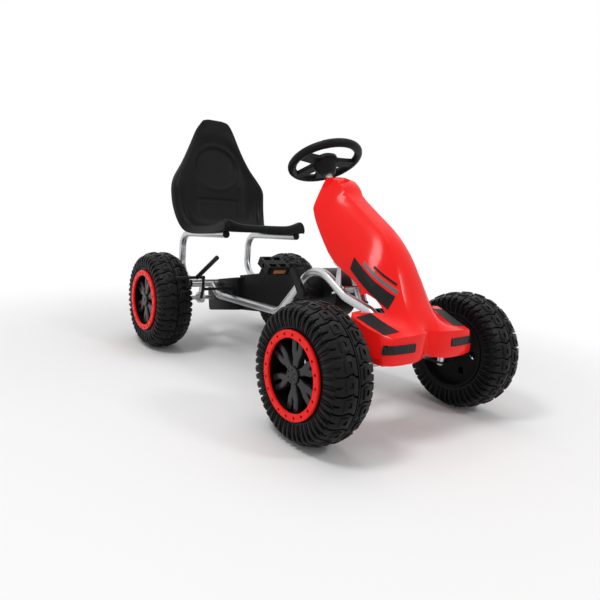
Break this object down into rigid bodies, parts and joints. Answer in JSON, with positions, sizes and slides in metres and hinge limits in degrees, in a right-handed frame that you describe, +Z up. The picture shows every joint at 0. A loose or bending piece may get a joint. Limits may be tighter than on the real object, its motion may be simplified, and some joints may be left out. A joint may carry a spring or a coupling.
{
  "type": "pedal go kart",
  "caption": "Child's pedal kart: bent tube frame on wide treaded wheels, chain drive, hand brake, tie-rod steering, moulded bucket seat and front fairing.",
  "frame": {"origin": "on the ground, under the middle of the outer box", "axes": "+X is the driver's left, -Y is the front of the kart, +Z is up"},
  "size_m": [0.75, 1.35, 0.91],
  "materials": {
    "satin_steel_tube": "satin silver lacquer",
    "black_painted_steel": "semi-gloss",
    "zinc_steel": "zinc plated",
    "black_bushing": "plain nylon",
    "red_gloss_plastic": "glossy moulded",
    "black_plastic": "fine grained",
    "amber_plastic": "prismatic reflector",
    "tyre_foam": "moulded foam with a closed skin",
    "grey_plastic": "moulded",
    "red_trim": "moulded"
  },
  "bodies": {
    "frame": {"frame_tube_right": "satin_steel_tube", "frame_tube_left": "satin_steel_tube", "rear_cross_member": "satin_steel_tube", "front_axle_beam": "satin_steel_tube", "crank_brackets": "black_painted_steel", "crank_bushes": "black_bushing", "rear_axle_bearings": "black_bushing", "steering_support": "satin_steel_tube", "column_bushes": "black_bushing", "fairing_bracket": "satin_steel_tube", "fairing_screws": "zinc_steel", "front_fairing": "red_gloss_plastic", "seat_tube_right": "satin_steel_tube", "seat_tube_left": "satin_steel_tube", "tube_plugs": "black_plastic", "seat_shell": "black_plastic", "seat_studs": "zinc_steel", "chain_case_right": "black_plastic", "chain_case_left": "black_plastic", "chain": "zinc_steel", "brake_bracket": "black_painted_steel", "kingpins": "zinc_steel"},
    "steering": {"steering_wheel": "black_plastic", "steering_wheel_cap": "black_plastic", "steering_column": "satin_steel_tube"},
    "knuckle_body_right": {"knuckle_right": "black_painted_steel", "axle_nut_front_right": "zinc_steel"},
    "tie_rod_body_right": {"tie_rod_right": "zinc_steel"},
    "front_wheel_right": {"tyre_front_right": "tyre_foam", "rim_front_right": "grey_plastic", "trim_ring_front_right": "red_trim", "hub_cap_front_right": "grey_plastic", "hub_bushes_front_right": "black_bushing"},
    "knuckle_body_left": {"knuckle_left": "black_painted_steel", "axle_nut_front_left": "zinc_steel"},
    "tie_rod_body_left": {"tie_rod_left": "zinc_steel"},
    "front_wheel_left": {"tyre_front_left": "tyre_foam", "rim_front_left": "grey_plastic", "trim_ring_front_left": "red_trim", "hub_cap_front_left": "grey_plastic", "hub_bushes_front_left": "black_bushing"},
    "rear_axle_body": {"rear_axle": "zinc_steel", "rear_sprocket": "zinc_steel", "axle_nuts_rear": "zinc_steel", "tyre_rear_right": "tyre_foam", "rim_rear_right": "grey_plastic", "trim_ring_rear_right": "red_trim", "hub_cap_rear_right": "grey_plastic"},
    "rear_wheel_left": {"tyre_rear_left": "tyre_foam", "rim_rear_left": "grey_plastic", "trim_ring_rear_left": "red_trim", "hub_cap_rear_left": "grey_plastic", "hub_bushes_rear_left": "black_bushing"},
    "crank_body": {"crank": "black_painted_steel", "chainring": "zinc_steel"},
    "pedal_body_right": {"pedal_right": "black_plastic", "pedal_reflectors_right": "amber_plastic"},
    "pedal_body_left": {"pedal_left": "black_plastic", "pedal_reflectors_left": "amber_plastic"},
    "brake_body": {"brake_lever": "black_painted_steel"}
  },
  "joints": [
    {"name": "steer", "type": "hinge", "parent": "frame", "child": "steering", "pos_m": [0, -0.097, 0.739], "axis": [0, 0.4924, 0.8704], "range_deg": [-21, 21]},
    {"name": "knuckle_turn_right", "type": "hinge", "parent": "frame", "child": "knuckle_body_right", "pos_m": [-0.212, -0.491, 0.184], "axis": [0, 0, 1], "range_deg": [-14, 14]},
    {"name": "tie_rod_turn_right", "type": "hinge", "parent": "knuckle_body_right", "child": "tie_rod_body_right", "pos_m": [-0.205, -0.425, 0.16], "axis": [0, 0, 1], "range_deg": [-14, 14]},
    {"name": "front_wheel_spin_right", "type": "hinge", "parent": "knuckle_body_right", "child": "front_wheel_right", "pos_m": [-0.306, -0.491, 0.184], "axis": [1, 0, 0], "continuous": true},
    {"name": "knuckle_turn_left", "type": "hinge", "parent": "frame", "child": "knuckle_body_left", "pos_m": [0.212, -0.491, 0.184], "axis": [0, 0, 1], "range_deg": [-14, 14]},
    {"name": "tie_rod_turn_left", "type": "hinge", "parent": "knuckle_body_left", "child": "tie_rod_body_left", "pos_m": [0.205, -0.425, 0.16], "axis": [0, 0, 1], "range_deg": [-14, 14]},
    {"name": "front_wheel_spin_left", "type": "hinge", "parent": "knuckle_body_left", "child": "front_wheel_left", "pos_m": [0.306, -0.491, 0.184], "axis": [1, 0, 0], "continuous": true},
    {"name": "rear_axle_spin", "type": "hinge", "parent": "frame", "child": "rear_axle_body", "pos_m": [0, 0.471, 0.184], "axis": [1, 0, 0], "continuous": true},
    {"name": "rear_wheel_spin_left", "type": "hinge", "parent": "rear_axle_body", "child": "rear_wheel_left", "pos_m": [0.306, 0.471, 0.184], "axis": [1, 0, 0], "continuous": true},
    {"name": "crank_spin", "type": "hinge", "parent": "frame", "child": "crank_body", "pos_m": [0, -0.185, 0.322], "axis": [1, 0, 0], "continuous": true},
    {"name": "pedal_spin_right", "type": "hinge", "parent": "crank_body", "child": "pedal_body_right", "pos_m": [-0.188, -0.1222, 0.40238], "axis": [1, 0, 0], "continuous": true},
    {"name": "pedal_spin_left", "type": "hinge", "parent": "crank_body", "child": "pedal_body_left", "pos_m": [0.188, -0.2478, 0.24162], "axis": [1, 0, 0], "continuous": true},
    {"name": "brake_swing", "type": "hinge", "parent": "frame", "child": "brake_body", "pos_m": [-0.205, 0.307, 0.25], "axis": [-1, 0, 0], "range_deg": [0, 10], "stiffness_Nm_per_rad": 2}
  ],
  "couplings": [
    {"joint": "knuckle_turn_right", "follows": "steer", "ratio": 0.6666},
    {"joint": "tie_rod_turn_right", "follows": "steer", "ratio": -0.6666},
    {"joint": "knuckle_turn_left", "follows": "steer", "ratio": 0.6666},
    {"joint": "tie_rod_turn_left", "follows": "steer", "ratio": -0.6666},
    {"joint": "crank_spin", "follows": "rear_axle_spin", "ratio": 0.5}
  ]
}
